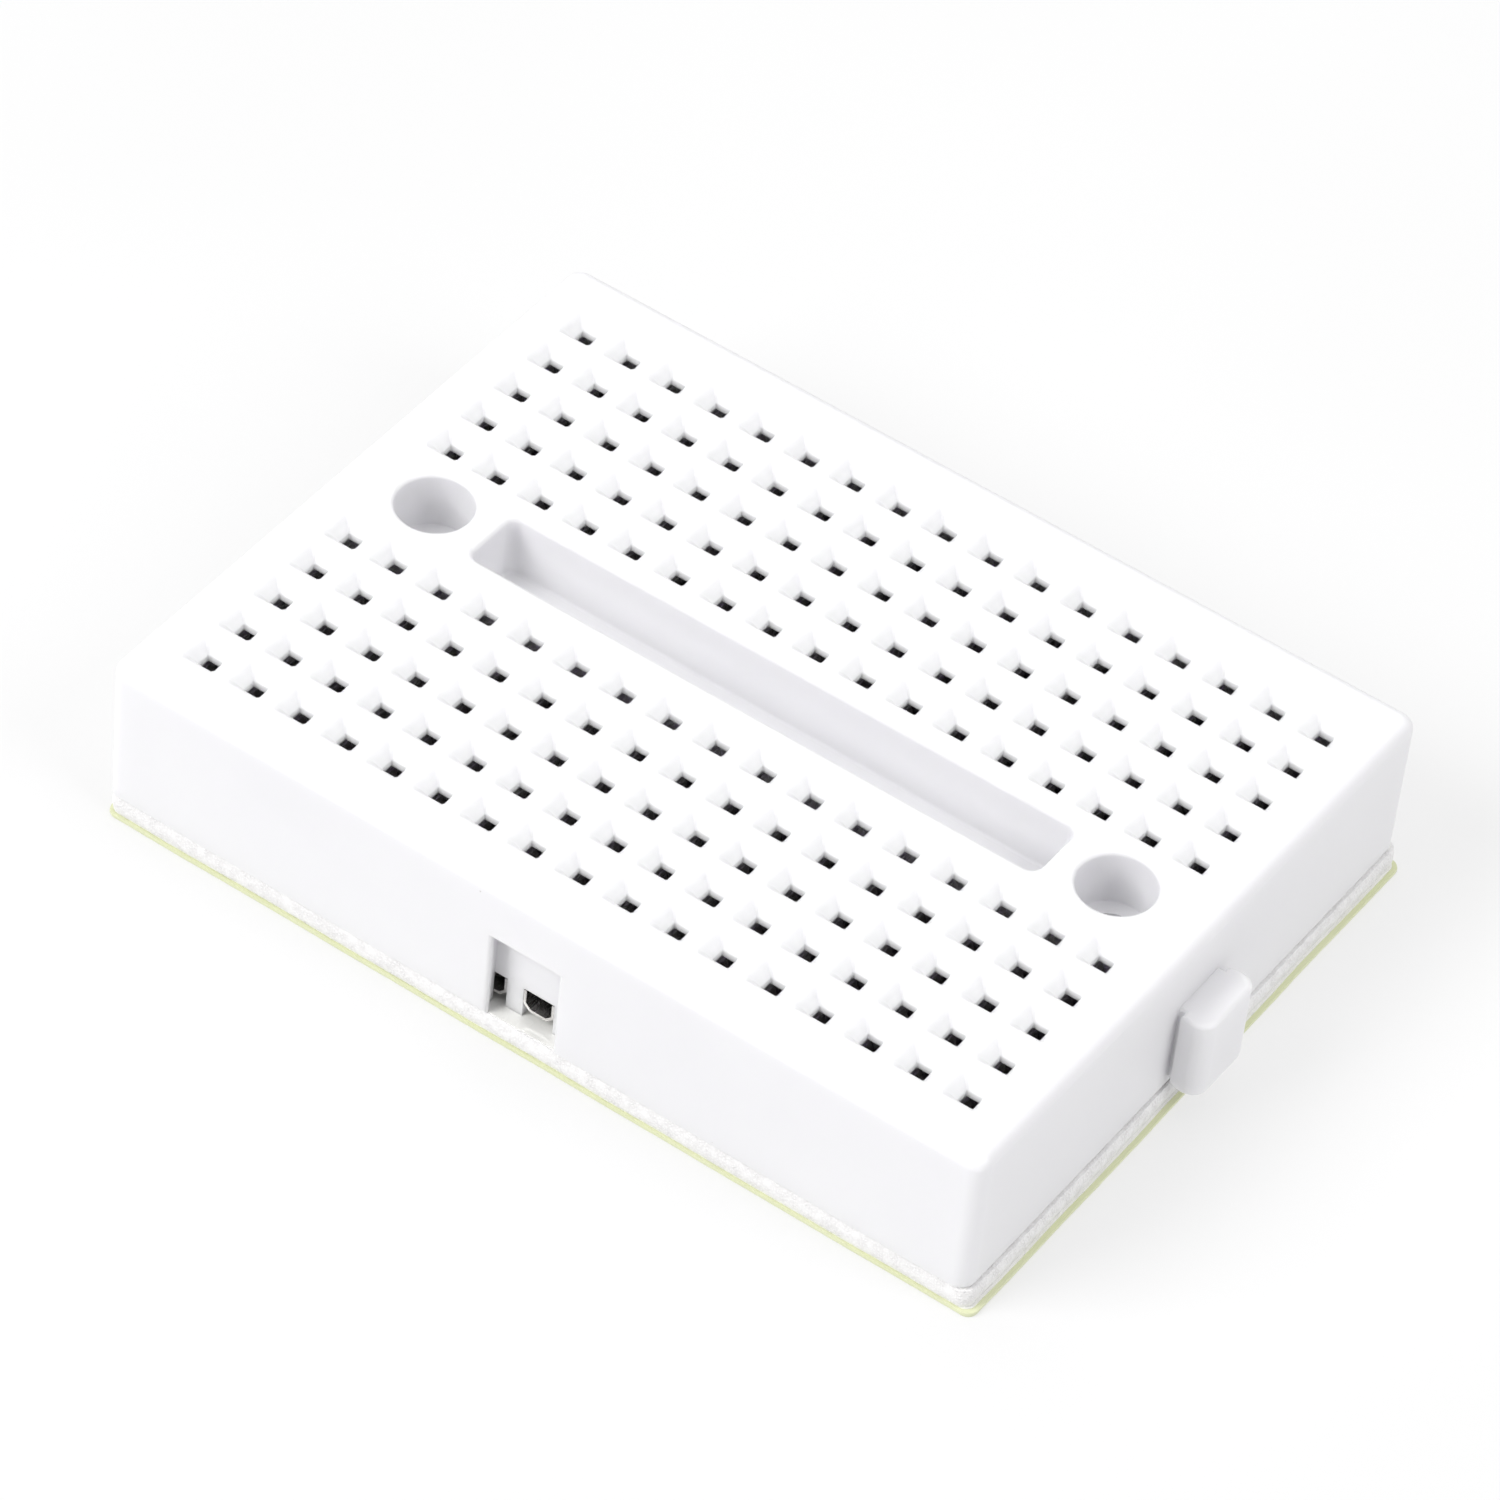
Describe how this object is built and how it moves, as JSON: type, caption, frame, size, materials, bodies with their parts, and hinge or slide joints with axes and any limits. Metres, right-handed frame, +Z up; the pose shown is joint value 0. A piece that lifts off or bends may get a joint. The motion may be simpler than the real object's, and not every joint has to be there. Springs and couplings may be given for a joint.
{
  "type": "solderless breadboard",
  "caption": "Small white solderless breadboard: grid of square funnel tie points, centre channel, counterbored screw holes, side tabs and slots, and a foam backing with a peel-off liner.",
  "frame": {"origin": "on the underside of the release liner, straight below the centre of the tie-point grid", "axes": "+X along the board towards the end with the tab, +Y across the board towards the back with the other tab, +Z up through the tie points"},
  "size_m": [0.0485, 0.0357, 0.0094],
  "materials": {
    "housing_plastic": "satin",
    "clip_metal": "satin",
    "white_foam": "matte",
    "adhesive_film": "gloss",
    "liner_paper": "satin"
  },
  "bodies": {
    "board": {"housing": "housing_plastic", "upper_adhesive": "adhesive_film", "foam_pad": "white_foam", "lower_adhesive": "adhesive_film", "clip_a01": "clip_metal", "clip_a02": "clip_metal", "clip_a03": "clip_metal", "clip_a04": "clip_metal", "clip_a05": "clip_metal", "clip_a06": "clip_metal", "clip_a07": "clip_metal", "clip_a08": "clip_metal", "clip_a09": "clip_metal", "clip_a10": "clip_metal", "clip_a11": "clip_metal", "clip_a12": "clip_metal", "clip_a13": "clip_metal", "clip_a14": "clip_metal", "clip_a15": "clip_metal", "clip_a16": "clip_metal", "clip_a17": "clip_metal", "clip_b01": "clip_metal", "clip_b02": "clip_metal", "clip_b03": "clip_metal", "clip_b04": "clip_metal", "clip_b05": "clip_metal", "clip_b06": "clip_metal", "clip_b07": "clip_metal", "clip_b08": "clip_metal", "clip_b09": "clip_metal", "clip_b10": "clip_metal", "clip_b11": "clip_metal", "clip_b12": "clip_metal", "clip_b13": "clip_metal", "clip_b14": "clip_metal", "clip_b15": "clip_metal", "clip_b16": "clip_metal", "clip_b17": "clip_metal"},
    "liner": {"release_liner": "liner_paper"}
  },
  "joints": [
    {"name": "liner_slide", "type": "slide", "parent": "board", "child": "liner", "axis": [0, -1, 0], "range_m": [0, 0.04]}
  ]
}
